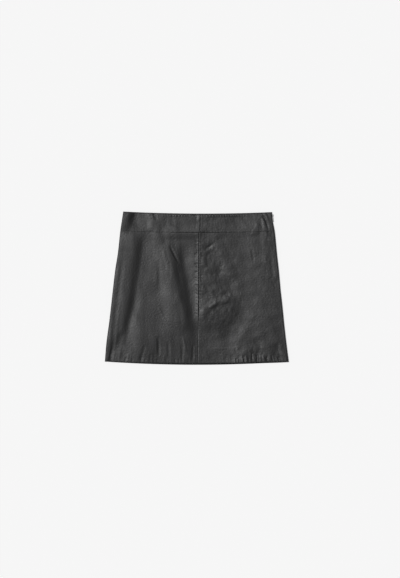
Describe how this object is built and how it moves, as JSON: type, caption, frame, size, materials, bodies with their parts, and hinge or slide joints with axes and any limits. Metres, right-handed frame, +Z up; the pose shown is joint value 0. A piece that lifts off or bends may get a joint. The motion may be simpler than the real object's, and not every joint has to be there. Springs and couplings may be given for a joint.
{
  "type": "leather mini skirt",
  "caption": "Short A-line skirt in soft leather laid flat, with a shaped waistband, a centre front seam and a concealed zip in one side seam.",
  "frame": {"origin": "on the surface that the skirt lies on, in the middle of its outline", "axes": "+Y from the hem to the waist, +X to the viewer's right (the wearer's left side, where the zip is), +Z up from the surface"},
  "size_m": [0.46, 0.3829, 0.0076],
  "materials": {
    "leather": "soft semi-matt lamb nappa with a fine grain",
    "thread": "black polyester sewing thread",
    "zip_tape": "black woven tape",
    "zip_metal": "black lacquer, semi-gloss"
  },
  "bodies": {
    "garment": {"front_left": "leather", "front_right": "leather", "waistband_front_left": "leather", "waistband_front_right": "leather", "back_panel": "leather", "waistband_back": "leather", "zip_tape": "zip_tape", "zip_slider": "zip_metal"},
    "zip_pull": {"zip_pull_tab": "zip_metal"}
  },
  "joints": [
    {"name": "zip_pull_swing", "type": "hinge", "parent": "garment", "child": "zip_pull", "pos_m": [0.18962, 0.18191, 0.0027], "axis": [0, 0, 1], "range_deg": [0, 160]}
  ]
}
